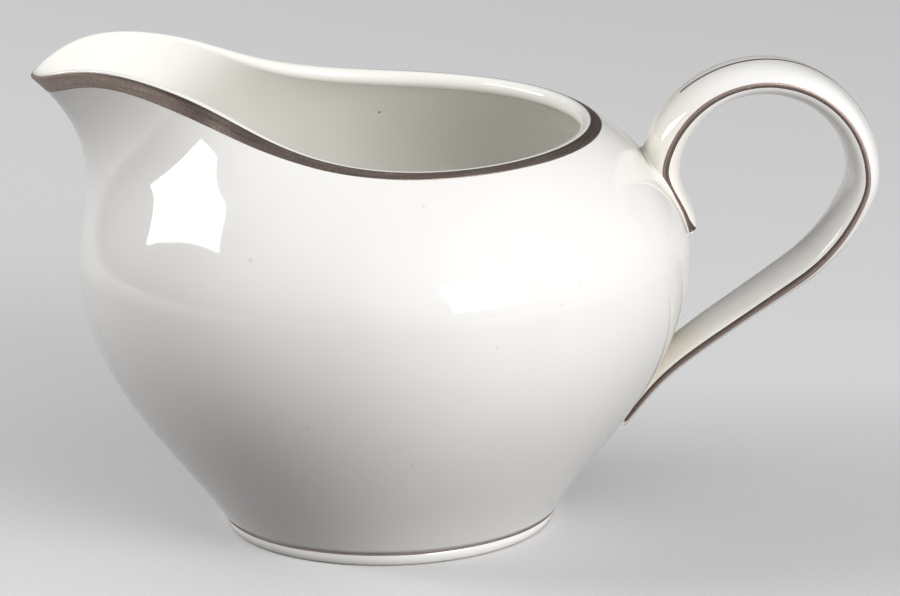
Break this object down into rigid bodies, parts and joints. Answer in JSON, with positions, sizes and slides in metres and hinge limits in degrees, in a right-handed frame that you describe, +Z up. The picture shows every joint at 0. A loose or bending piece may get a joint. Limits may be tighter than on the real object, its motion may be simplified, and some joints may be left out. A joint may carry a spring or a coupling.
{
  "type": "creamer",
  "caption": "Porcelain creamer with a round bowl drawn out into a pouring lip, a low foot ring and a looped strap handle.",
  "frame": {"origin": "centre of the foot ring's standing face, on the axis of the bowl", "axes": "+X from the bowl towards the handle, -X towards the pouring lip, +Z up from the surface that it stands on"},
  "size_m": [0.1312, 0.095, 0.0768],
  "materials": {
    "porcelain_glaze": "gloss",
    "glazed_slip": "gloss",
    "foot_porcelain": "satin",
    "metal_lustre": "gloss"
  },
  "bodies": {
    "root": {"bowl": "porcelain_glaze", "foot_ring": "foot_porcelain", "handle": "porcelain_glaze", "upper_joint_slip": "glazed_slip", "lower_joint_slip": "glazed_slip", "rim_band": "metal_lustre", "foot_line": "metal_lustre", "handle_line_left": "metal_lustre", "handle_line_right": "metal_lustre", "handle_line_back": "metal_lustre"}
  },
  "joints": []
}
